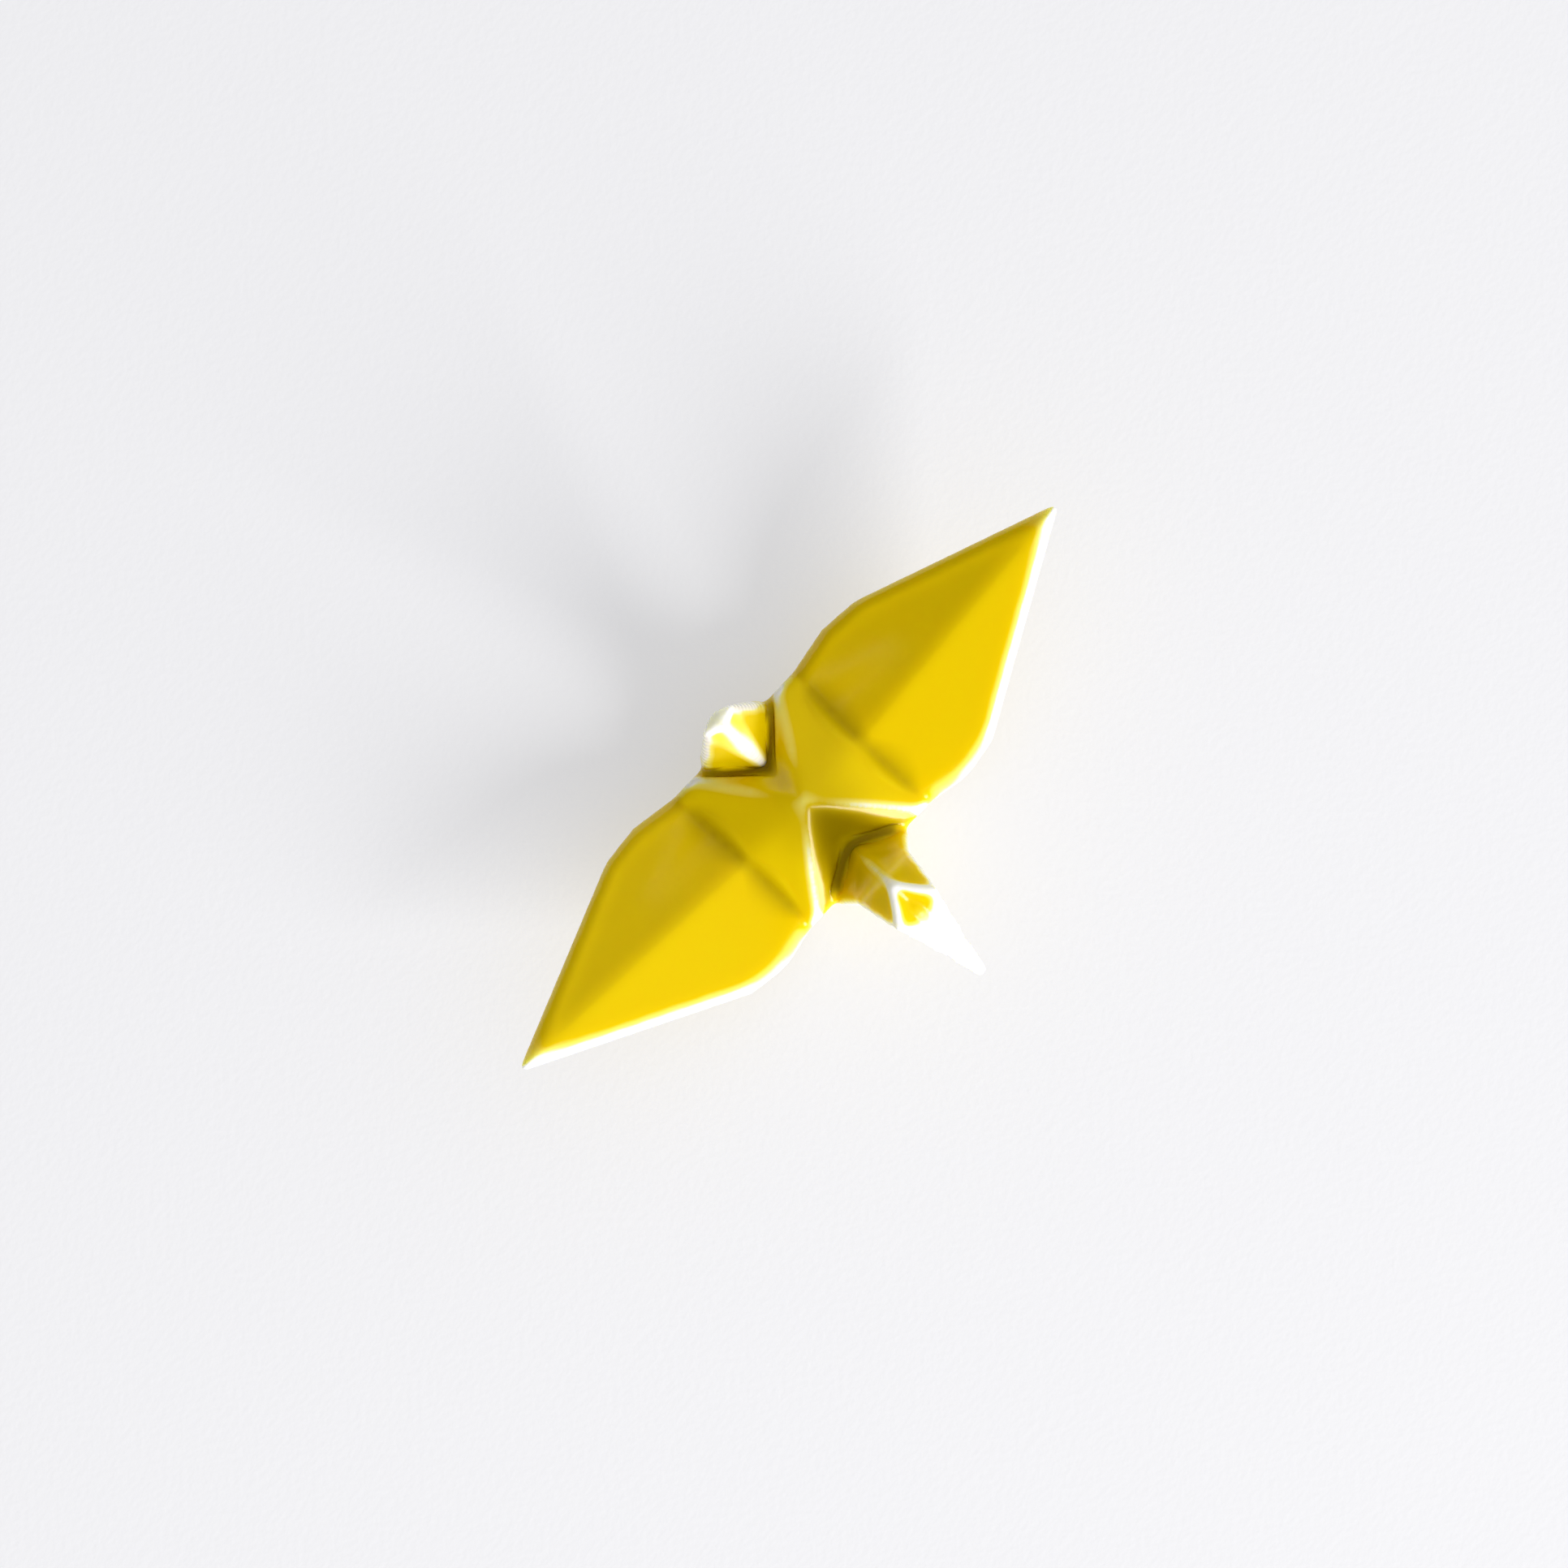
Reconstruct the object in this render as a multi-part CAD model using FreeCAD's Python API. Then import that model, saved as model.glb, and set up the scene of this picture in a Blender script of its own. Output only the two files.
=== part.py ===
"""A folded crane in glazed porcelain, with its wings spread, standing on an unglazed foot.

The porcelain is cast in pieces, which are joined with slip while the clay is soft, and the joined bird is
then covered in one coat of glaze. The bird faces -Y, its wings spread along X, and +Z is up. The origin is
on the table, midway between the wing tips and midway between the beak and the tail. All sizes are
millimetres, and are those of the glazed surface. They are measured from the middle of the foot, under the
peak of the back, and the finished pieces are then moved to the origin.

Every piece is a union of convex blocks, each given by its corner points. The porcelain under the glaze is
the same blocks with their faces moved in by the coat's thickness.
"""

import FreeCAD
import Part
import itertools
import math
import os

V = FreeCAD.Vector
UP = V(0, 0, 1)
MIDDLE = (V(0, 0, 0), V(0, 1, 0), V(0, 0, 1))
TOLERANCE = 1e-6
FAR = 200.0

# The coat of glaze, and the hollow pressed up into the body from below
glaze = 0.35
hollow_radius = 4.0
hollow_top_radius = 2.4
hollow_depth = 9.4

# The foot and the belly
foot_half_length = 5.4
foot_half_depth = 6.4
foot_height = 1.0
foot_corner_radius = 1.6
foot_inset = 0.9
belly_height = 4.2

# The body where the wings leave it, with an upright shoulder under each wing
root_x = 9.2
shoulder_height = 0.4
body_rear_y = 10.35
body_front_y = -10.0

# The peak of the back, and its four ridges
peak_rise = 5.2
ridge_rear_x = 6.4
ridge_front_x = 7.8
ridge_rear_y = 9.9
ridge_front_y = -9.6
dip = 0.75

# The wings
wingspan = 84.0
wing_thickness = 2.4
wing_slope = 22.0
wing_sweep = 2.2
rear_corner_reach = 8.2
rear_corner_y = 11.7
front_corner_reach = 7.6
front_corner_y = -11.4
corner_blunting = 2.6
fold_drop = 1.9
root_drop = 1.5
wing_bevel = 0.75
wing_overlap = 2.0

# The pockets in the back from which the neck and the tail rise
pocket_depth = 1.4
pocket_gap = 1.3
rear_pocket_y = 3.9
rear_pocket_half_width = 6.3
front_pocket_y = -5.7
front_pocket_half_width = 6.5

# The tail and the neck are flaps with blunt edges, folded along the ridge nearest the peak. Each is flush
# with the body's end at the belly, and stands out from it at the pocket.
flap_edge = 1.2
flap_groove = 0.8
tail_overhang = -0.15
neck_overhang = 0.25

# The tail
tail_height = 31.0
tail_reach = 11.8
tail_half_width = 4.9
tail_tip_half_width = 2.2
tail_tip_depth = 1.7

# The neck
crown_height = 24.4
crown_y = -12.8
collar_height = 12.4
collar_y = -8.5
collar_edge_y = -11.6
collar_half_width = 4.0
neck_half_width = 5.4
throat_height = 18.6
throat_y = -16.0

# The head and the beak
brow_half_width = 3.15
brow_y = -16.9
brow_height = 24.0
brow_dip_y = -20.6
brow_dip_height = 20.6
cheek_half_width = 1.6
cheek_y = -22.8
cheek_height = 19.9
jaw_height = 18.2
beak_reach = 26.9
beak_height = 18.5
beak_half_width = 0.6
beak_depth = 1.3

# Heights and places that follow from those
root_height = belly_height + shoulder_height + fold_drop + wing_thickness
peak_height = root_height + peak_rise
pocket_height = root_height - pocket_depth
tip_x = wingspan / 2
tip_height = root_height + (tip_x - root_x) * math.tan(math.radians(wing_slope))
foot_y = (beak_reach - tail_reach - tail_tip_depth) / 2


def convex_planes(points):
    """The faces of the convex block with these corners, each as (outward normal, distance from the origin)."""
    planes = []
    for a, b, c in itertools.combinations(points, 3):
        normal = (b - a).cross(c - a)
        if normal.Length < TOLERANCE:
            continue
        normal.normalize()
        for outward in (normal, -normal):
            distance = outward.dot(a)
            if any(outward.dot(p) > distance + 1e-5 for p in points):
                continue
            if not any((outward - n).Length < 1e-4 and abs(distance - d) < 1e-4 for n, d in planes):
                planes.append((outward, distance))
    return planes


def corner(p, q, r):
    """The point where three faces meet, or None if two of them are parallel."""
    (n1, d1), (n2, d2), (n3, d3) = p, q, r
    size = n1.dot(n2.cross(n3))
    if abs(size) < TOLERANCE:
        return None
    return (n2.cross(n3) * d1 + n3.cross(n1) * d2 + n1.cross(n2) * d3) / size


def solid_from_planes(planes):
    """The block that lies behind every one of these faces."""
    corners = []
    for trio in itertools.combinations(planes, 3):
        point = corner(*trio)
        if point is None or any(n.dot(point) > d + TOLERANCE for n, d in planes):
            continue
        if all((point - other).Length > 1e-5 for other in corners):
            corners.append(point)
    faces = []
    for normal, distance in planes:
        ring = [p for p in corners if abs(normal.dot(p) - distance) < 1e-5]
        if len(ring) < 3:
            continue
        middle = sum(ring, V()) / len(ring)
        across = (ring[0] - middle).normalize()
        along = normal.cross(across)
        ring.sort(key=lambda p: math.atan2((p - middle).dot(along), (p - middle).dot(across)))
        faces.append(Part.Face(Part.makePolygon(ring + ring[:1])))
    solid = Part.Solid(Part.Shell(faces))
    if not solid.isValid() or solid.Volume <= 0:
        raise ValueError("a block's corners don't enclose a solid")
    return solid


def block(points, grow, cuts=(), seams=()):
    """A convex block with its faces moved out by grow. A face through all of a seam's points stays put."""
    planes = []
    for normal, distance in convex_planes(points) + list(cuts):
        on_seam = any(all(abs(normal.dot(p) - distance) < 1e-4 for p in seam) for seam in (MIDDLE, *seams))
        planes.append((normal, distance if on_seam else distance + grow))
    return solid_from_planes(planes)


def fuse(shapes):
    """One shape from several, without the lines where they were joined."""
    return shapes[0].multiFuse(shapes[1:]).removeSplitter()


def both_sides(half):
    """A half on the +X side, joined to its mirror image."""
    return fuse([half, half.mirror(V(), V(1, 0, 0))])


def box(low, high):
    return Part.makeBox(high.x - low.x, high.y - low.y, high.z - low.z, low)


def between_x(shape, low, high):
    return shape.common(box(V(low, -FAR, -FAR), V(high, FAR, FAR)))


def between_z(shape, low, high):
    return shape.common(box(V(-FAR, -FAR, low), V(FAR, FAR, high)))


# The back: a four-sided peak, whose front and rear faces dip to the pockets


def side_height(x, y):
    """The height of the back's side faces, which fall from the peak to the wing's root."""
    end_y = body_rear_y if y > 0 else body_front_y
    return peak_height - peak_rise * x / root_x - root_drop * y / end_y


def pocket_floor_of_ridge(pocket_y, ridge_x, ridge_y):
    """The height of the back's front or rear face at the corner of its pocket."""
    fall = peak_height - side_height(ridge_x, ridge_y)
    return peak_height - fall * pocket_y / ridge_y - dip


def trunk(grow):
    """The body's outline seen from above, as a tall block on the +X side."""
    outline = [
        (0, body_rear_y),
        (ridge_rear_x, body_rear_y),
        (root_x + wing_overlap, body_rear_y),
        (root_x + wing_overlap, body_front_y),
        (0, body_front_y),
    ]
    return block([V(x, y, z) for x, y in outline for z in (belly_height - 1, peak_height + FAR)], grow)


def back_half(grow):
    """The peaked half of the back on the +X side, before its pockets are cut."""
    peak = V(0, 0, peak_height)
    rear_ridge = V(ridge_rear_x, ridge_rear_y, side_height(ridge_rear_x, ridge_rear_y))
    front_ridge = V(ridge_front_x, ridge_front_y, side_height(ridge_front_x, ridge_front_y))
    rear_dip = V(0, rear_pocket_y, pocket_floor_of_ridge(rear_pocket_y, ridge_rear_x, ridge_rear_y))
    front_dip = V(0, front_pocket_y, pocket_floor_of_ridge(front_pocket_y, ridge_front_x, ridge_front_y))
    root = V(root_x, 0, root_height)
    rear_root = V(root_x, body_rear_y, side_height(root_x, body_rear_y))
    front_root = V(root_x, body_front_y, side_height(root_x, body_front_y))
    slopes = [
        (peak, root, rear_root),
        (peak, front_root, root),
        (peak, rear_ridge, rear_dip),
        (peak, front_dip, front_ridge),
    ]
    cuts = []
    for a, b, c in slopes:
        normal = (b - a).cross(c - a).normalize()
        if normal.z < 0:
            normal = -normal
        cuts.append((normal, normal.dot(a)))
    side_x = root_x + wing_overlap
    outline = [(0, body_rear_y), (side_x, body_rear_y), (side_x, body_front_y), (0, body_front_y)]
    heights = (belly_height - 1, peak_height + 1)
    return block([V(x, y, z) for x, y in outline for z in heights], grow, cuts)


def pocket(corner_y, half_width, end_y, grow):
    """The three-cornered pocket in the back, open at its top and outwards."""
    reach = (end_y - corner_y) * 2
    outline = [(0, corner_y), (0, corner_y + reach), (half_width * 2, corner_y + reach)]
    return block([V(x, y, z) for x, y in outline for z in (belly_height, peak_height + FAR)], grow)


def rear_pocket(grow):
    return both_sides(pocket(rear_pocket_y, rear_pocket_half_width, body_rear_y, grow))


def front_pocket(grow):
    return both_sides(pocket(front_pocket_y, front_pocket_half_width, body_front_y, grow))


def pocket_plug(hole, grow):
    """The base of the neck or the tail, which fills its pocket up to the recess around it."""
    filling = hole.common(both_sides(trunk(grow)))
    return between_z(filling, belly_height, pocket_height + grow)


def back(grow):
    peaked = both_sides(back_half(grow))
    peaked = between_z(between_x(peaked, -root_x - grow, root_x + grow), belly_height, FAR)
    return peaked.cut(rear_pocket(-grow)).cut(front_pocket(-grow))


# The belly and the foot


def belly(grow):
    """The lower body, which narrows from the wings' roots to the foot."""
    above = 1 + 1 / (belly_height - foot_height)
    points = []
    for x, y in itertools.product((-1, 1), (-1, 1)):
        low = V(x * (foot_half_length + foot_inset), y * (foot_half_depth + foot_inset), foot_height)
        high = V(x * root_x, body_rear_y if y > 0 else body_front_y, belly_height)
        points += [low, low + (high - low) * above]
    return between_z(block(points, grow), foot_height, belly_height)


def hollow():
    """The tapered hollow inside the body, open at the foot."""
    return Part.makeCone(hollow_radius, hollow_top_radius, hollow_depth)


def foot_ring():
    """The bare ring that the bird stands on."""
    ring = box(
        V(-foot_half_length, -foot_half_depth, 0),
        V(foot_half_length, foot_half_depth, foot_height + glaze),
    )
    upright = [e for e in ring.Edges if abs(e.tangentAt(0).z) > 0.9]
    return ring.makeFillet(foot_corner_radius, upright).cut(hollow())


# The wings


def wing_half(corner_reach, corner_y, body_y, grow):
    """Half of the wing on the +X side: the part behind its middle fold, or the part in front of it."""
    fold_slope = math.tan(math.radians(wing_slope))
    root = V(root_x, 0, root_height)
    tip = V(tip_x, wing_sweep, tip_height)
    edge = V(root_x + corner_reach, corner_y, root_height + corner_reach * fold_slope - fold_drop)
    face = (tip - root).cross(edge - root).normalize()
    if face.z < 0:
        face = -face

    def on_top(x, y):
        return V(x, y, root.z - (face.x * (x - root.x) + face.y * (y - root.y)) / face.z)

    inner_x = root_x - wing_overlap
    fold_y = wing_sweep * (inner_x - root_x) / (tip_x - root_x)
    inner_edge_y = body_y + (corner_y - body_y) * (inner_x - root_x) / corner_reach
    inner_edge = on_top(inner_x, inner_edge_y)
    before_corner = edge + (inner_edge - edge).normalize() * corner_blunting
    after_corner = edge + (tip - edge).normalize() * corner_blunting
    outline = [on_top(inner_x, fold_y), inner_edge, before_corner, after_corner, tip]
    lower = [p - UP * (wing_thickness / face.z) for p in outline]
    cuts = []
    for ring, side in ((outline, face), (lower, -face)):
        for start, end in zip(ring[1:], ring[2:]):
            outward = (end - start).cross(UP).normalize()
            if outward.dot(start - root) < 0:
                outward = -outward
            slant = (outward + side).normalize()
            cuts.append((slant, slant.dot(start - outward * wing_bevel)))
    return block(outline + lower, grow, cuts, seams=[(root, tip, tip + UP)])


def wing_slab(grow):
    """The wing on the +X side, with its inner end inside the body."""
    return fuse(
        [
            wing_half(rear_corner_reach, rear_corner_y, body_rear_y, grow),
            wing_half(front_corner_reach, front_corner_y, body_front_y, grow),
        ]
    )


def left_wing(grow):
    """The wing on the +X side, joined to the side of the back's porcelain, which lies under its glaze."""
    return between_x(wing_slab(grow), root_x - glaze, FAR)


def right_wing(grow):
    return left_wing(grow).mirror(V(), V(1, 0, 0))


# The tail and the neck


def flap_section(ridge_y, half_width, edge_y, height):
    """The corners of half of a flap's section, level with this height."""
    outward = math.copysign(1, edge_y)
    return [
        V(0, ridge_y, height),
        V(half_width, edge_y, height),
        V(half_width - flap_edge / 2, edge_y + outward * flap_edge, height),
        V(0, edge_y + outward * (flap_edge - flap_groove), height),
    ]


def flap_root(pocket_y, half_width, body_y, overhang):
    """The corners of half of a flap's two lowest sections: under the belly's top, and level with its pocket."""
    outward = math.copysign(1, body_y)
    ridge_y = pocket_y + outward * pocket_gap
    flush = flap_section(ridge_y, half_width, body_y - outward * flap_edge, belly_height - 1)
    proud = flap_section(ridge_y, half_width, body_y + outward * overhang, pocket_height)
    return flush, proud


def tail_flap(grow):
    """The tail, which tapers from its pocket to its tip."""
    flush, proud = flap_root(rear_pocket_y, tail_half_width, body_rear_y, tail_overhang)
    tip = [
        V(0, tail_reach, tail_height),
        V(tail_tip_half_width, tail_reach + tail_tip_depth / 2, tail_height - tail_tip_depth / 2),
        V(0, tail_reach + tail_tip_depth, tail_height - tail_tip_depth / 2),
    ]
    lower = block(flush + proud, grow, seams=[proud])
    upper = block(proud + tip, grow, seams=[proud])
    return both_sides(fuse([lower, upper]))


def tail(grow):
    hole = rear_pocket(-grow)
    return between_z(fuse([pocket_plug(hole, grow), tail_flap(grow)]), belly_height, FAR)


def crown_seam():
    """Three corners of the seam between one side of the neck and the head."""
    return [V(0, crown_y, crown_height), V(brow_half_width, brow_y, brow_height), V(0, throat_y, throat_height)]


def neck_flap(grow):
    """The neck, which narrows quickly to its collar and slowly to its crown."""
    flush, proud = flap_root(front_pocket_y, neck_half_width, body_front_y, neck_overhang)
    collar = flap_section(collar_y, collar_half_width, collar_edge_y, collar_height)
    crown = crown_seam()
    root = block(flush + proud, grow, seams=[proud])
    lower = block(proud + collar, grow, seams=[proud, collar])
    upper = block(collar + crown, grow, seams=[collar, crown])
    return both_sides(fuse([root, lower, upper]))


def neck(grow):
    hole = front_pocket(-grow)
    return between_z(fuse([pocket_plug(hole, grow), neck_flap(grow)]), belly_height, FAR)


# The head and the beak


def cheek_seam():
    """Three corners of the seam between one side of the skull and the beak."""
    return [V(0, brow_dip_y, brow_dip_height), V(cheek_half_width, cheek_y, cheek_height), V(0, cheek_y, jaw_height)]


def skull(grow):
    """The head, which dips along its top between the brows."""
    seams = [crown_seam(), cheek_seam()]
    return both_sides(block(seams[0] + seams[1], grow, seams=seams))


def beak(grow):
    """The beak, with a ridge along its top."""
    tip = [
        V(0, -beak_reach, beak_height),
        V(beak_half_width, -beak_reach, beak_height - beak_depth / 2),
        V(0, -beak_reach, beak_height - beak_depth),
    ]
    return both_sides(block(cheek_seam() + tip, grow, seams=[cheek_seam()]))


def head(grow):
    return fuse([skull(grow), beak(grow)])


# The pieces as they are joined, and the coat of glaze over them


def cast_pieces(grow):
    """The porcelain pieces without their foot, with their outer faces moved out by grow."""
    rising = {"neck": neck(grow), "tail": tail(grow)}
    body = back(grow).cut(rising["neck"]).cut(rising["tail"])
    wing_roots = fuse([left_wing(grow), right_wing(grow)])
    return {
        "back": body.cut(wing_roots),
        "belly": belly(grow).cut(wing_roots),
        "left_wing": left_wing(grow),
        "right_wing": right_wing(grow),
        "neck": rising["neck"],
        "head": head(grow),
        "tail": rising["tail"],
    }


def build():
    porcelain = cast_pieces(-glaze)
    glazed = fuse(list(cast_pieces(0).values()))
    coat = glazed.cut(fuse(list(porcelain.values())))
    for name in ("back", "belly"):
        porcelain[name] = porcelain[name].cut(hollow())
    return {**porcelain, "foot_ring": foot_ring(), "glaze_coat": coat.cut(hollow()).cut(foot_ring())}


os.makedirs("parts", exist_ok=True)
for name, shape in build().items():
    print(f"{name}: {len(shape.Solids)} solid(s), {shape.Volume:.1f} mm3, valid {shape.isValid()}")
    Part.makeCompound(shape.Solids).translated(V(0, foot_y, 0)).exportStep(f"parts/{name}.step")
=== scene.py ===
"""A folded crane in yellow glazed porcelain, standing on a sheet of white paper.

The bird is pressed in pieces of white porcelain, which are joined with slip. The joined bird is dipped in a
translucent yellow glaze and fired on its bare foot.
"""

import math

import bpy
import numpy as np
from mathutils import Matrix, Vector


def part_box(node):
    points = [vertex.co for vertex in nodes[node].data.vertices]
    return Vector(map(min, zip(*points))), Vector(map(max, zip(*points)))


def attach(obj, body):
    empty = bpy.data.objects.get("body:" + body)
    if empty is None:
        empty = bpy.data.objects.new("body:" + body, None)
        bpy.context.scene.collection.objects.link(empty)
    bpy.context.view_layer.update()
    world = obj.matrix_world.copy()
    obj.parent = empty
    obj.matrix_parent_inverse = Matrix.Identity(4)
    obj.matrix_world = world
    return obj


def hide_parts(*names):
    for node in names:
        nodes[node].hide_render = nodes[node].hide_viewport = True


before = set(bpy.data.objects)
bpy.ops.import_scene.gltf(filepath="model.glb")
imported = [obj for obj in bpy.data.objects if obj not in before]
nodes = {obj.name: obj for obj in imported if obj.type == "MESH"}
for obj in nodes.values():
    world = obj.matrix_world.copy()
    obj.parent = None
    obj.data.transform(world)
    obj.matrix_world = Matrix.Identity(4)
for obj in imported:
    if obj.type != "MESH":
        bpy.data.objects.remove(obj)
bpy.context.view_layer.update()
MM = 0.001

# ---------------------------------------------------------------------------------------------------------
# The porcelain pieces: white clay pressed into plaster moulds, trimmed, and joined with slip. A wet sponge
# takes the sharpness off every fold and edge before the clay is fired.
# ---------------------------------------------------------------------------------------------------------

PORCELAIN_PIECES = ("back", "belly", "left_wing", "right_wing", "neck", "head", "tail")
PORCELAIN_WHITE = "#F6F3EA"
PORCELAIN_SPECK = "#E9E4D6"
clay_grain = 0.5 * MM
porcelain_roughness = 0.42
refractive_index = 1.5
porcelain_voxel = 0.32 * MM
sponge_passes = 10
sponge_wear = 0.12 * MM
steep_facing = 0.45
sloping_facing = 0.65
body_margin = 1.2 * MM
shallow_crease = 0.12 * MM


def linear(hex_colour):
    """A colour in linear light, from its sRGB hex value."""
    channels = [int(hex_colour[i : i + 2], 16) / 255 for i in (1, 3, 5)]
    return tuple(c / 12.92 if c <= 0.04045 else ((c + 0.055) / 1.055) ** 2.4 for c in channels) + (1.0,)


def add(tree, kind, links=(), values=(), **settings):
    """Adds a node with its settings. Links and values are given by input socket."""
    node = tree.nodes.new(kind)
    for name, value in settings.items():
        setattr(node, name, value)
    for socket, value in dict(values).items():
        node.inputs[socket].default_value = value
    for socket, output in dict(links).items():
        tree.links.new(output, node.inputs[socket])
    return node


def new_material(name):
    """A material, and its emptied node tree."""
    material = bpy.data.materials.new(name)
    material.use_nodes = True
    material.node_tree.nodes.clear()
    return material, material.node_tree


def fired_porcelain():
    """Vitrified white porcelain, dense and smooth, with a faint warm speck from the clay."""
    material, tree = new_material("fired white porcelain")
    place = add(tree, "ShaderNodeTexCoord")
    grain = add(tree, "ShaderNodeTexNoise", {"Vector": place.outputs["Object"]},
                {"Scale": 1 / clay_grain, "Detail": 4.0})
    colour = add(tree, "ShaderNodeMix", {"Factor": grain.outputs["Fac"]}, data_type="RGBA")
    colour.inputs["A"].default_value = linear(PORCELAIN_WHITE)
    colour.inputs["B"].default_value = linear(PORCELAIN_SPECK)
    surface = add(tree, "ShaderNodeBsdfPrincipled", {"Base Color": colour.outputs["Result"]},
                  {"Roughness": porcelain_roughness, "IOR": refractive_index})
    add(tree, "ShaderNodeOutputMaterial", {"Surface": surface.outputs["BSDF"]})
    return material


def softening_tree(name):
    """Rounds edges, fills creases between the wings, and stores how hollow or how sharp each place was."""
    tree = bpy.data.node_groups.new(name, "GeometryNodeTree")
    sockets = tree.interface
    sockets.new_socket("Geometry", in_out="OUTPUT", socket_type="NodeSocketGeometry")
    sockets.new_socket("Geometry", in_out="INPUT", socket_type="NodeSocketGeometry")
    for passes in ("Rounding", "Body Rounding", "Edge", "Crease", "Pocket"):
        sockets.new_socket(passes + " Passes", in_out="INPUT", socket_type="NodeSocketInt")
    for size in ("Body Half Width", "Body Top", "Crease Filling", "Fullness"):
        sockets.new_socket(size, in_out="INPUT", socket_type="NodeSocketFloat")
    sockets.new_socket("Material", in_out="INPUT", socket_type="NodeSocketMaterial")
    given = add(tree, "NodeGroupInput").outputs
    place = add(tree, "GeometryNodeInputPosition").outputs["Position"]
    normal = add(tree, "GeometryNodeInputNormal").outputs["Normal"]

    # A closed hollow inside is an island of its own. Only the largest island, the outer skin, stays.
    island = add(tree, "GeometryNodeInputMeshIsland")
    points = add(tree, "GeometryNodeAccumulateField", {"Group Index": island.outputs["Island Index"]},
                 {0: 1})
    largest = add(tree, "GeometryNodeAttributeStatistic",
                  {"Geometry": given["Geometry"], "Attribute": points.outputs["Total"]})
    inner = add(tree, "ShaderNodeMath", {0: points.outputs["Total"], 1: largest.outputs["Max"]},
                operation="LESS_THAN")
    outer = add(tree, "GeometryNodeDeleteGeometry",
                {"Geometry": given["Geometry"], "Selection": inner.outputs["Value"]})

    # Adding back what a second blur takes off keeps the skin from shrinking.
    once = add(tree, "GeometryNodeBlurAttribute",
               {"Value": place, "Iterations": given["Rounding Passes"]}, data_type="FLOAT_VECTOR")
    twice = add(tree, "GeometryNodeBlurAttribute",
                {"Value": once.outputs["Value"], "Iterations": given["Rounding Passes"]},
                data_type="FLOAT_VECTOR")
    lost = add(tree, "ShaderNodeVectorMath", {0: once.outputs["Value"], 1: twice.outputs["Value"]},
               operation="SUBTRACT")
    rounded = add(tree, "ShaderNodeVectorMath", {0: once.outputs["Value"], 1: lost.outputs["Vector"]},
                  operation="ADD")

    # The upper side of the body, between the wings, is rounded once more.
    spot = add(tree, "ShaderNodeSeparateXYZ", {"Vector": place}).outputs
    lean = add(tree, "ShaderNodeSeparateXYZ", {"Vector": normal}).outputs
    across = add(tree, "ShaderNodeMath", {0: spot["X"]}, operation="ABSOLUTE")
    up = add(tree, "ShaderNodeMapRange", {"Value": lean["Z"]},
             {"From Min": steep_facing, "From Max": sloping_facing}, interpolation_type="SMOOTHSTEP")
    over_body = up.outputs["Result"]
    inside = {}
    for value, limit in ((across.outputs["Value"], "Body Half Width"), (spot["Z"], "Body Top")):
        beyond = add(tree, "ShaderNodeMath", {0: value, 1: given[limit]}, operation="SUBTRACT")
        within = add(tree, "ShaderNodeMapRange", {"Value": beyond.outputs["Value"]},
                     {"From Min": 0.0, "From Max": body_margin, "To Min": 1.0, "To Max": 0.0},
                     interpolation_type="SMOOTHSTEP")
        inside[limit] = within.outputs["Result"]
        over_body = add(tree, "ShaderNodeMath", {0: over_body, 1: inside[limit]},
                        operation="MULTIPLY").outputs["Value"]
    broad = add(tree, "GeometryNodeBlurAttribute",
                {"Value": rounded.outputs["Vector"], "Iterations": given["Body Rounding Passes"],
                 "Weight": over_body}, data_type="FLOAT_VECTOR")
    soft = add(tree, "GeometryNodeSetPosition",
               {"Geometry": outer.outputs["Geometry"], "Position": broad.outputs["Value"]})

    # How far each point would move outward if its surroundings were evened out. The crease comes last,
    # because its pull also fills it.
    geometry = soft.outputs["Geometry"]
    for attribute in ("edge", "pocket", "crease"):
        spread = add(tree, "GeometryNodeBlurAttribute",
                     {"Value": place, "Iterations": given[attribute.title() + " Passes"]},
                     data_type="FLOAT_VECTOR")
        pull = add(tree, "ShaderNodeVectorMath", {0: spread.outputs["Value"], 1: place},
                   operation="SUBTRACT")
        rise = add(tree, "ShaderNodeVectorMath", {0: pull.outputs["Vector"], 1: normal},
                   operation="DOT_PRODUCT")
        stored = add(tree, "GeometryNodeStoreNamedAttribute",
                     {"Geometry": geometry, "Value": rise.outputs["Value"]},
                     {"Name": attribute}, data_type="FLOAT", domain="POINT")
        geometry = stored.outputs["Geometry"]

    # Creases between the wings are filled, and the whole skin moves outward by the fullness.
    hollow = add(tree, "GeometryNodeInputNamedAttribute", values={"Name": "crease"}, data_type="FLOAT")
    filling = add(tree, "ShaderNodeMapRange",
                  {"Value": hollow.outputs["Attribute"], "To Max": given["Crease Filling"]},
                  {"From Min": 0.0, "From Max": shallow_crease, "To Min": 0.0},
                  interpolation_type="SMOOTHSTEP")
    between_wings = add(tree, "ShaderNodeMath",
                        {0: filling.outputs["Result"], 1: inside["Body Half Width"]}, operation="MULTIPLY")
    filled = add(tree, "ShaderNodeVectorMath",
                 {0: pull.outputs["Vector"], "Scale": between_wings.outputs["Value"]}, operation="SCALE")
    fuller = add(tree, "ShaderNodeVectorMath", {0: normal, "Scale": given["Fullness"]}, operation="SCALE")
    offset = add(tree, "ShaderNodeVectorMath",
                 {0: filled.outputs["Vector"], 1: fuller.outputs["Vector"]}, operation="ADD")
    full = add(tree, "GeometryNodeSetPosition",
               {"Geometry": geometry, "Offset": offset.outputs["Vector"]})

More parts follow.
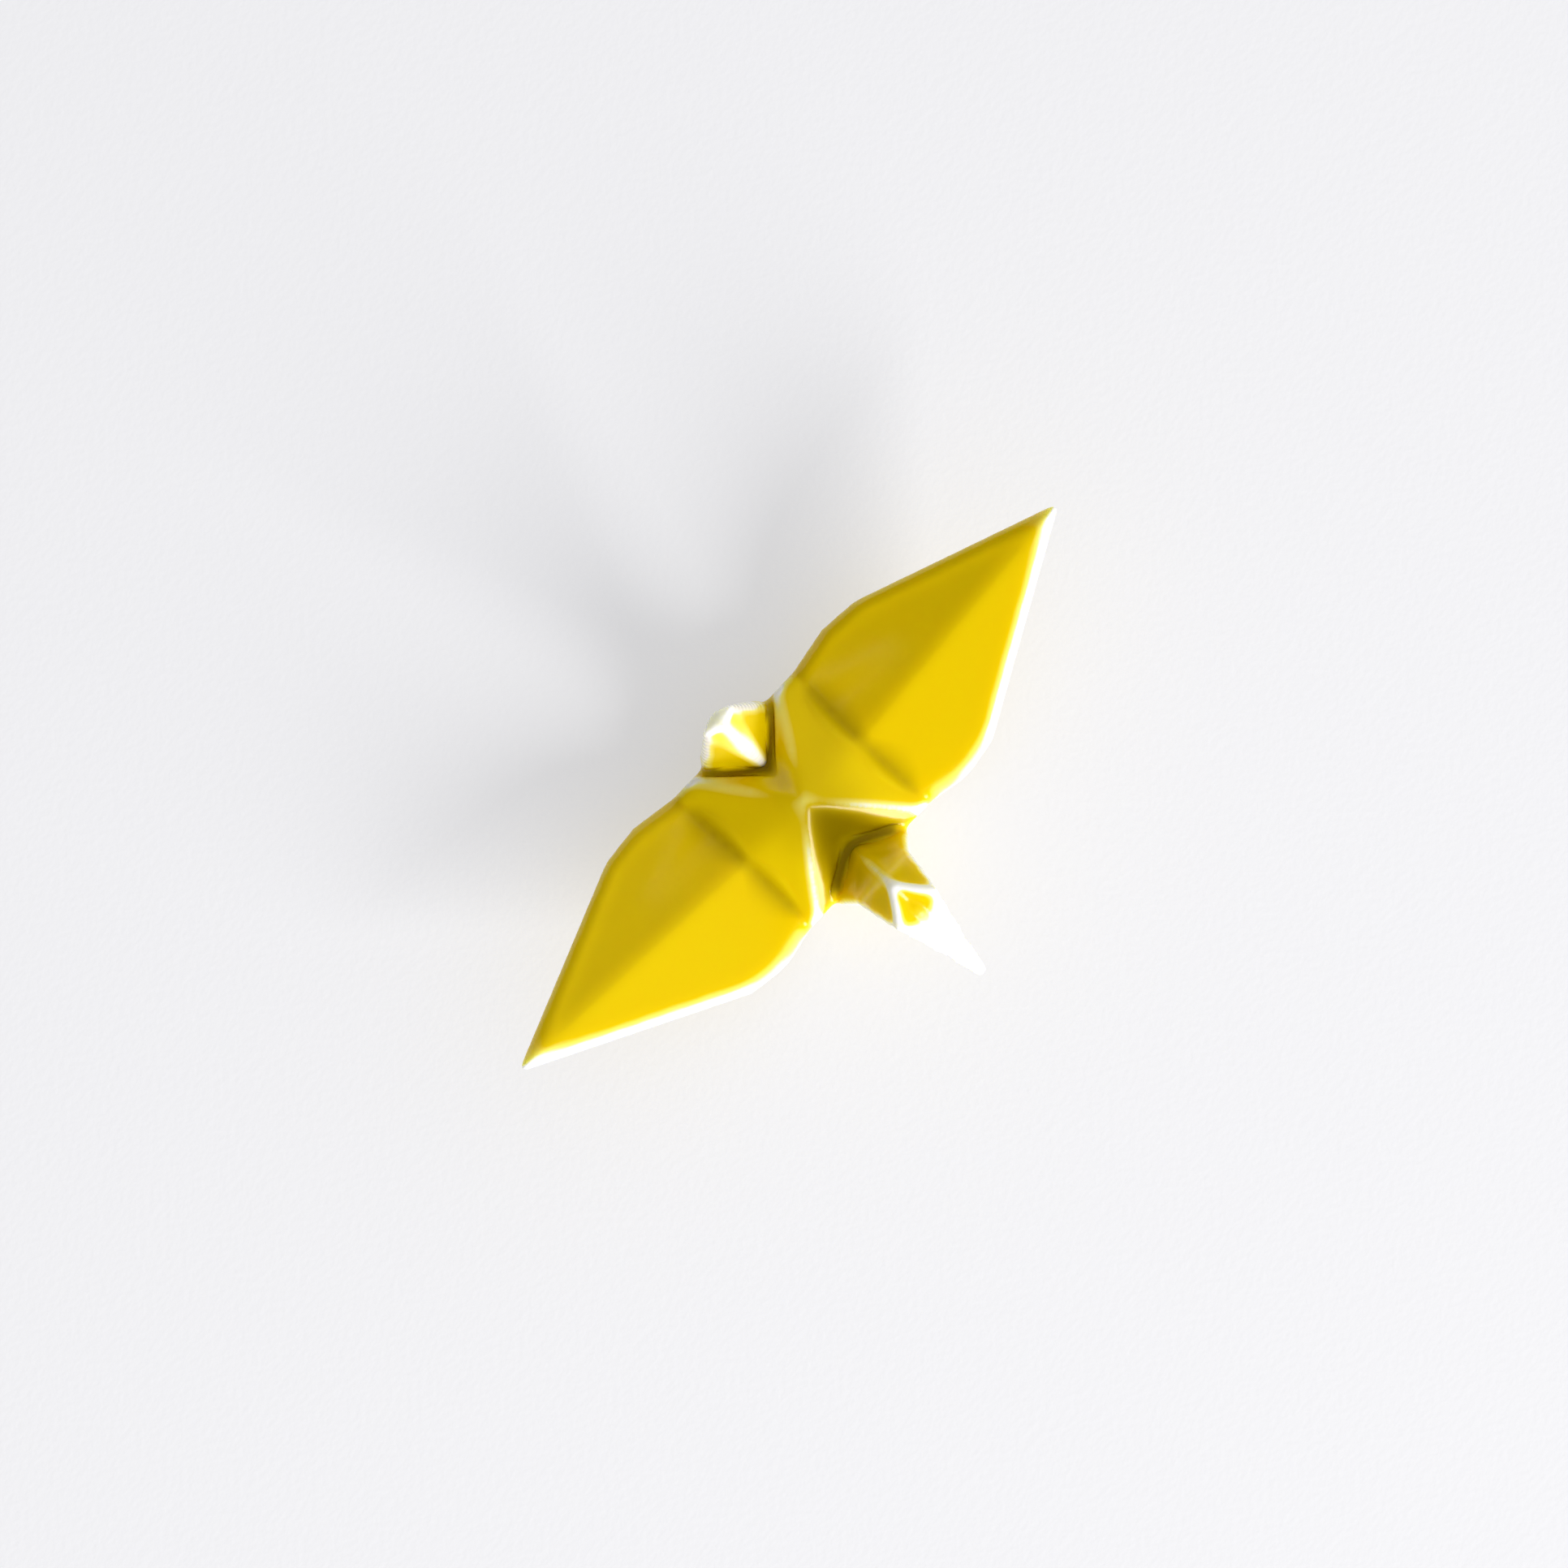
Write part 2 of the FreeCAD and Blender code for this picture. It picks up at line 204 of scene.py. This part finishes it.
    smooth = add(tree, "GeometryNodeSetShadeSmooth", {"Geometry": full.outputs["Geometry"]})
    realized = add(tree, "GeometryNodeRealizeInstances", {"Geometry": smooth.outputs["Geometry"]})
    finished = add(tree, "GeometryNodeSetMaterial",
                   {"Geometry": realized.outputs["Geometry"], "Material": given["Material"]})
    add(tree, "NodeGroupOutput", {"Geometry": finished.outputs["Geometry"]})
    return tree


SOFTENING = softening_tree("softened by sponge and glaze")


def softened(name, sources, voxel, material, **settings):
    """One smooth closed mesh from one or more CAD solids. The settings are the softening tree's inputs."""
    copies = []
    for source in sources:
        copy = bpy.data.objects.new(source.name + " copy", source.data.copy())
        bpy.context.scene.collection.objects.link(copy)
        copies.append(copy)
    if len(copies) > 1:
        with bpy.context.temp_override(active_object=copies[0], selected_editable_objects=copies):
            bpy.ops.object.join()
    rough = copies[0]
    remesh = rough.modifiers.new("one skin", "REMESH")
    remesh.mode = "VOXEL"
    remesh.voxel_size = voxel
    soften = rough.modifiers.new("soften", "NODES")
    soften.node_group = SOFTENING
    settings["material"] = material
    for item in SOFTENING.interface.items_tree:
        key = item.name.lower().replace(" ", "_")
        if key in settings:
            soften[item.identifier] = settings[key]
    evaluated = rough.evaluated_get(bpy.context.evaluated_depsgraph_get())
    mesh = bpy.data.meshes.new_from_object(evaluated)
    bpy.data.objects.remove(rough)
    mesh.name = name
    piece = bpy.data.objects.new(name, mesh)
    bpy.context.scene.collection.objects.link(piece)
    return piece


porcelain = fired_porcelain()
for name in PORCELAIN_PIECES:
    piece = softened(name + "_porcelain", [nodes[name]], porcelain_voxel, porcelain,
                     rounding_passes=sponge_passes, fullness=-sponge_wear)
    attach(piece, "root")
    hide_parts(name)

# ---------------------------------------------------------------------------------------------------------
# The foot ring: the same clay, wiped clean of glaze so that it doesn't stick to the kiln shelf. Bare fired
# porcelain is matte and faintly grainy, and picks up a little grey where it is handled.
# ---------------------------------------------------------------------------------------------------------

BARE_WHITE = "#EFEBE1"
BARE_SHADE = "#DCD6C8"
foot_voxel = 0.2 * MM
foot_sponge_passes = 3
foot_wear = 0.02 * MM
bare_grain = 0.25 * MM
bare_stain = 2.5 * MM
bare_relief = 0.02 * MM
bare_roughness = 0.82


def bare_porcelain():
    """Unglazed porcelain: matte, with a fine sandy grain."""
    material, tree = new_material("unglazed porcelain biscuit")
    place = add(tree, "ShaderNodeTexCoord")
    grain = add(tree, "ShaderNodeTexNoise", {"Vector": place.outputs["Object"]},
                {"Scale": 1 / bare_grain, "Detail": 5.0})
    stain = add(tree, "ShaderNodeTexNoise", {"Vector": place.outputs["Object"]},
                {"Scale": 1 / bare_stain, "Detail": 2.0})
    colour = add(tree, "ShaderNodeMix", {"Factor": stain.outputs["Fac"]}, data_type="RGBA")
    colour.inputs["A"].default_value = linear(BARE_WHITE)
    colour.inputs["B"].default_value = linear(BARE_SHADE)
    relief = add(tree, "ShaderNodeBump", {"Height": grain.outputs["Fac"]},
                 {"Strength": 0.5, "Distance": bare_relief})
    surface = add(tree, "ShaderNodeBsdfPrincipled",
                  {"Base Color": colour.outputs["Result"], "Normal": relief.outputs["Normal"]},
                  {"Roughness": bare_roughness, "IOR": refractive_index})
    add(tree, "ShaderNodeOutputMaterial", {"Surface": surface.outputs["BSDF"]})
    return material


foot = softened("foot_ring_bare", [nodes["foot_ring"]], foot_voxel, bare_porcelain(),
                rounding_passes=foot_sponge_passes, fullness=-foot_wear)
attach(foot, "root")
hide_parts("foot_ring")

# ---------------------------------------------------------------------------------------------------------
# The coat of glaze: a yellow glass, which runs as it melts. It pools olive brown in the creases and draws
# back from edges and ridges, which are white. The skin here is opaque, and its colour stands for the depth
# of glaze over the white clay, with painted light and shade added to it: highlights on the front ridges, the
# head, the neck and the tail, shade on the front facet, along the wing folds and on the rear halves of the
# wings, and faces lit or shaded by the window.
# ---------------------------------------------------------------------------------------------------------

# The white colour also serves for painted highlights, and the deep colour for painted shade.
GLAZE_BARE_AND_HIGHLIGHT = "#FFFCF0"
GLAZE_THIN = "#F6E878"
GLAZE_FLAT = "#E6CA00"
GLAZE_DEEP_AND_SHADE = "#B79B00"
GLAZE_POOL = "#AA8A00"
glaze_voxel = 0.25 * MM
melt_passes = 22
body_melt_passes = 30
edge_passes = 30
crease_passes = 220
pocket_passes = 380
crease_filling = 1.15
levelling_passes = 4
glaze_fullness = 0.12 * MM
bare_thickness = -0.23 * MM
thin_thickness = -0.17 * MM
flat_thickness = -0.09 * MM
deep_thickness = 0.26 * MM
pool_thickness = 0.60 * MM
crease_share = 0.27
pocket_share = 0.12
# Painted light and shade: faces turned toward the window are painted whiter, faces turned away darker.
painted_light_by_facing = 0.07 * MM
# Painted shade: the rear half of each wing is darker.
rear_half_painted_shade = 0.05 * MM
# The edges of the rising neck and tail are whiter: glaze running off them, and a painted highlight.
rising_run_off_and_highlight = 0.6
rising_foot = 11 * MM
rising_top = 18 * MM
flap_start = 5 * MM
flap_end = 7 * MM
rising_half_width = 6 * MM
rising_margin = 3 * MM
# A painted highlight along the front ridges of the back.
front_ridge_painted_highlight = 0.15 * MM
rear_ridge_run_off = 0.075 * MM
front_ridge_band = 1.2 * MM
rear_ridge_band = 1.7 * MM
ridge_start = 1.2 * MM
ridge_end = 5.0 * MM
# The front facet is darker: pooled glaze, and painted shade cast by the neck.
front_face_pool_and_shade = 0.28 * MM
rear_face_pool = 0.04 * MM
front_ridge_spread = 0.81
rear_ridge_spread = 0.65
front_pocket_spread = 0.66
rear_pocket_spread = 1.02
ridge_width = 1.2 * MM
pocket_rim = 1.0 * MM
# A painted shade line along each wing's fold.
fold_painted_shade = 0.12 * MM
fold_width = 0.45 * MM
fold_sweep = 2.2 * MM
fold_start = 2.0 * MM
# The head is whiter towards the beak: glaze running off, and a painted highlight.
head_run_off_and_highlight = 0.25 * MM
run_off_start = 3.6 * MM
run_off_end = 5.6 * MM
mottle_width = 3.5 * MM
mottle_depth = 0.03 * MM
ripple_width = 3.0 * MM
ripple_height = 0.010 * MM
glaze_roughness = 0.17
glaze_reflection = 0.32
glaze_milkiness = 0.8
light_reach = 2.6 * MM
light_reach_by_colour = (1.0, 0.98, 0.25)

foot_low, foot_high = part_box("foot_ring")
peak_y = (foot_low.y + foot_high.y) / 2
back_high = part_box("back")[1]


def smooth_step(value, low, high):
    """Rises smoothly from 0 at low to 1 at high."""
    t = np.clip((value - low) / (high - low), 0, 1)
    return t * t * (3 - 2 * t)


def take_attribute(mesh, name):
    """The values of a point attribute, which is then removed."""
    values = np.empty(len(mesh.vertices))
    mesh.attributes[name].data.foreach_get("value", values)
    mesh.attributes.remove(mesh.attributes[name])
    return values


def store_depth_and_painted_light(mesh):
    """Stores how much thicker than on a flat wing the glaze lies at each point of its skin, with painted
    highlights stored as thinner glaze and painted shade as thicker glaze.
    """
    place = np.empty(len(mesh.vertices) * 3)
    mesh.vertices.foreach_get("co", place)
    across, along, height = place.reshape(-1, 3).T
    across = np.abs(across)
    facing = np.empty(len(mesh.vertices) * 3)
    mesh.vertices.foreach_get("normal", facing)
    # The edges of the rising neck and tail are whiter: glaze running off them, and a painted highlight.
    rising = 1 - smooth_step(across, rising_half_width, rising_half_width + rising_margin)
    rising *= smooth_step(height, rising_foot, rising_top)
    rising *= smooth_step(np.abs(along - peak_y), flap_start, flap_end)
    edge_run_off_and_highlight = 1 + rising_run_off_and_highlight * rising
    thickness = edge_run_off_and_highlight * np.minimum(take_attribute(mesh, "edge"), 0)
    # Painted light and shade: whiter on faces turned toward the window, darker on faces turned away.
    thickness += painted_light_by_facing * facing[1::3]
    thickness += crease_share * np.maximum(take_attribute(mesh, "crease"), 0)
    thickness += pocket_share * np.maximum(take_attribute(mesh, "pocket"), 0)

    on_body = 1 - smooth_step(across, back_high.x, back_high.x + ridge_width)
    for face_pool_and_shade, ridge_run_off_and_highlight, band, side, ridge_spread, pocket_y, pocket_spread in (
        (front_face_pool_and_shade, front_ridge_painted_highlight, front_ridge_band, -1, front_ridge_spread,
         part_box("neck")[1].y, front_pocket_spread),
        (rear_face_pool, rear_ridge_run_off, rear_ridge_band, 1, rear_ridge_spread,
         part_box("tail")[0].y, rear_pocket_spread),
    ):
        out = side * (along - peak_y)
        within = out * ridge_spread - across
        # Whiter bands along the ridges: a painted highlight on the front ridges, thin glaze on the rear
        # ones.
        on_ridge = smooth_step(out, ridge_start, ridge_end) * smooth_step(-np.abs(within), -band, 0)
        thickness -= ridge_run_off_and_highlight * on_body * on_ridge
        # The facets are darker towards the neck and the tail: pooled glaze, and on the front facet painted
        # shade cast by the neck.
        on_face = smooth_step(within, 0, ridge_width)
        pocket = side * (pocket_y - peak_y) + pocket_spread * across
        thickness += face_pool_and_shade * on_face * smooth_step(pocket - out, -pocket_rim, 0)

    wing_low, wing_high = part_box("left_wing")
    outward = (across - wing_low.x) / (wing_high.x - wing_low.x)
    behind_fold = along - peak_y - fold_sweep * outward
    on_wing = smooth_step(across, wing_low.x, wing_low.x + fold_start)
    # A painted shade line along each wing's fold.
    thickness += fold_painted_shade * on_wing * (1 - smooth_step(np.abs(behind_fold), 0, fold_width))
    # Painted shade on the rear half of each wing, behind the fold.
    thickness += rear_half_painted_shade * on_wing * smooth_step(behind_fold, 0, fold_width)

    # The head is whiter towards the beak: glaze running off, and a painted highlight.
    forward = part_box("head")[1].y - along
    thickness -= head_run_off_and_highlight * smooth_step(forward, run_off_start, run_off_end)

    ends = np.empty(len(mesh.edges) * 2, dtype=np.int32)
    mesh.edges.foreach_get("vertices", ends)
    one, other = ends.reshape(-1, 2).T
    neighbours = np.bincount(ends, minlength=len(thickness))
    for _ in range(levelling_passes):
        around = np.bincount(one, thickness[other], len(thickness))
        around += np.bincount(other, thickness[one], len(thickness))
        thickness = (thickness + around) / (1 + neighbours)
    mesh.attributes.new("thickness", "FLOAT", "POINT").data.foreach_set("value", thickness)


def yellow_glaze():
    """Glossy yellow glaze over white clay, as one opaque surface coloured by how thick the glaze lies and by
    the painted light and shade stored with it.
    """
    material, tree = new_material("yellow transparent glaze on porcelain")
    place = add(tree, "ShaderNodeTexCoord")
    stored_depth_and_light = add(tree, "ShaderNodeAttribute", attribute_name="thickness")
    mottle = add(tree, "ShaderNodeTexNoise", {"Vector": place.outputs["Object"]},
                 {"Scale": 1 / mottle_width, "Detail": 3.0})
    waver = add(tree, "ShaderNodeMath", {0: mottle.outputs["Fac"]},
                {1: mottle_depth, 2: -mottle_depth / 2}, operation="MULTIPLY_ADD")
    mottled_depth_and_light = add(tree, "ShaderNodeMath", {0: stored_depth_and_light.outputs["Fac"], 1: waver.outputs["Value"]},
                operation="ADD")
    scaled = add(tree, "ShaderNodeMapRange", {"Value": mottled_depth_and_light.outputs["Value"]},
                 {"From Min": bare_thickness, "From Max": pool_thickness})
    ramp = add(tree, "ShaderNodeValToRGB", {"Fac": scaled.outputs["Result"]})
    # The white end of the ramp also gives the painted highlights, and the olive end the painted shade.
    stops = [
        (bare_thickness, GLAZE_BARE_AND_HIGHLIGHT),
        (thin_thickness, GLAZE_THIN),
        (flat_thickness, GLAZE_FLAT),
        (0, GLAZE_FLAT),
        (deep_thickness, GLAZE_DEEP_AND_SHADE),
        (pool_thickness, GLAZE_POOL),
    ]
    points = ramp.color_ramp.elements
    while len(points) < len(stops):
        points.new(0.5)
    for point, (thickness, colour) in zip(points, stops):
        point.position = (thickness - bare_thickness) / (pool_thickness - bare_thickness)
        point.color = linear(colour)
    ripple = add(tree, "ShaderNodeTexNoise", {"Vector": place.outputs["Object"]},
                 {"Scale": 1 / ripple_width, "Detail": 1.0})
    relief = add(tree, "ShaderNodeBump", {"Height": ripple.outputs["Fac"]},
                 {"Strength": 1.0, "Distance": ripple_height})
    surface = add(tree, "ShaderNodeBsdfPrincipled",
                  {"Base Color": ramp.outputs["Color"], "Normal": relief.outputs["Normal"]},
                  {"Roughness": glaze_roughness, "IOR": refractive_index,
                   "Specular IOR Level": glaze_reflection, "Subsurface Weight": glaze_milkiness,
                   "Subsurface Radius": light_reach_by_colour, "Subsurface Scale": light_reach})
    add(tree, "ShaderNodeOutputMaterial", {"Surface": surface.outputs["BSDF"]})
    return material


glazed_nodes = [nodes[name] for name in ("glaze_coat", *PORCELAIN_PIECES)]
coat = softened("glaze_skin", glazed_nodes, glaze_voxel, yellow_glaze(),
                rounding_passes=melt_passes, body_rounding_passes=body_melt_passes,
                body_half_width=back_high.x - body_margin, body_top=back_high.z,
                edge_passes=edge_passes, crease_passes=crease_passes, pocket_passes=pocket_passes,
                crease_filling=crease_filling, fullness=glaze_fullness)
store_depth_and_painted_light(coat.data)
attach(coat, "root")
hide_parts("glaze_coat")

# ---------------------------------------------------------------------------------------------------------
# The table: a sheet of white watercolour paper, with the fine tooth that its felt leaves. It lies on a light
# table, which lifts the shadows, so its own colour is set that much darker.
# ---------------------------------------------------------------------------------------------------------

PAPER_WHITE = "#AFAFB1"
PAPER_GLOW = "#FCFCFF"
paper_glow = 0.47
paper_size = 3.0
paper_tooth = 0.8 * MM
paper_relief = 0.05 * MM
paper_relief_strength = 0.7
paper_roughness = 0.9


def watercolour_paper():
    """Cotton paper: matte white, with a shallow uneven tooth."""
    material, tree = new_material("cold pressed cotton paper")
    place = add(tree, "ShaderNodeTexCoord")
    tooth = add(tree, "ShaderNodeTexNoise", {"Vector": place.outputs["Object"]},
                {"Scale": 1 / paper_tooth, "Detail": 3.0})
    relief = add(tree, "ShaderNodeBump", {"Height": tooth.outputs["Fac"]},
                 {"Strength": paper_relief_strength, "Distance": paper_relief})
    surface = add(tree, "ShaderNodeBsdfPrincipled", {"Normal": relief.outputs["Normal"]},
                  {"Base Color": linear(PAPER_WHITE), "Roughness": paper_roughness,
                   "Emission Color": linear(PAPER_GLOW), "Emission Strength": paper_glow})
    add(tree, "ShaderNodeOutputMaterial", {"Surface": surface.outputs["BSDF"]})
    return material


half = paper_size / 2
paper_mesh = bpy.data.meshes.new("paper")
corners = [(-half, -half, 0), (half, -half, 0), (half, half, 0), (-half, half, 0)]
paper_mesh.from_pydata(corners, [], [(0, 1, 2, 3)])
paper_mesh.materials.append(watercolour_paper())
paper = bpy.data.objects.new("paper", paper_mesh)
bpy.context.scene.collection.objects.link(paper)

# ---------------------------------------------------------------------------------------------------------
# The light and the camera: a bright room, a broad window low in front of the beak, and a camera looking
# straight down, turned so that the wings run up to the right.
# ---------------------------------------------------------------------------------------------------------

WINDOW_LIGHT = (1.0, 0.985, 0.96)
ROOM_LIGHT = (0.97, 0.975, 1.0, 1.0)
window_distance = 1.6
window_size = 0.95
window_elevation = math.radians(25)
window_turn = math.radians(-2)
window_power = 32.0
room_brightness = 0.52
room_slant = Vector((0.52, -0.52, 0.0))
room_reflection = 0.06
sensor_width = 36.0
camera_height = 0.9
picture_width = 0.170
picture_turn = math.radians(-46.5)
picture_right_of_peak = -2.1 * MM
picture_above_peak = 1.9 * MM

peak = Vector(((foot_low.x + foot_high.x) / 2, peak_y, back_high.z))

window = bpy.data.lights.new("window", "AREA")
window.shape = "DISK"
window.size = window_size
window.energy = window_power
window.color = WINDOW_LIGHT
window_object = bpy.data.objects.new("window", window)
bpy.context.scene.collection.objects.link(window_object)
towards = Vector((math.sin(window_turn) * math.cos(window_elevation),
                  -math.cos(window_turn) * math.cos(window_elevation), math.sin(window_elevation)))
window_object.location = peak + towards * window_distance
window_object.rotation_euler = towards.to_track_quat("Z", "Y").to_euler()

world = bpy.data.worlds.new("bright room")
world.use_nodes = True
room = world.node_tree
glow = room.nodes["Background"]
glow.inputs["Color"].default_value = ROOM_LIGHT
sky = add(room, "ShaderNodeTexCoord")
facing = add(room, "ShaderNodeVectorMath", {0: sky.outputs["Generated"]}, {1: room_slant},
             operation="DOT_PRODUCT")
lit = add(room, "ShaderNodeMath", {0: facing.outputs["Value"]}, {1: room_brightness, 2: room_brightness},
          operation="MULTIPLY_ADD")
ray = add(room, "ShaderNodeLightPath")
dark = add(room, "ShaderNodeMath", {0: ray.outputs["Is Glossy Ray"]}, {1: room_reflection - 1, 2: 1.0},
           operation="MULTIPLY_ADD")
strength = add(room, "ShaderNodeMath", {0: lit.outputs["Value"], 1: dark.outputs["Value"]},
               operation="MULTIPLY")
room.links.new(strength.outputs["Value"], glow.inputs["Strength"])
bpy.context.scene.world = world
bpy.context.scene.view_settings.view_transform = "Standard"

camera = bpy.data.cameras.new("camera")
camera.sensor_width = sensor_width
camera.lens = sensor_width * (camera_height - peak.z) / picture_width
camera_object = bpy.data.objects.new("camera", camera)
bpy.context.scene.collection.objects.link(camera_object)
turned = Matrix.Rotation(picture_turn, 4, "Z")
middle = peak + turned @ Vector((picture_right_of_peak, picture_above_peak, 0))
camera_object.matrix_world = Matrix.Translation((middle.x, middle.y, camera_height)) @ turned
bpy.context.scene.camera = camera_object
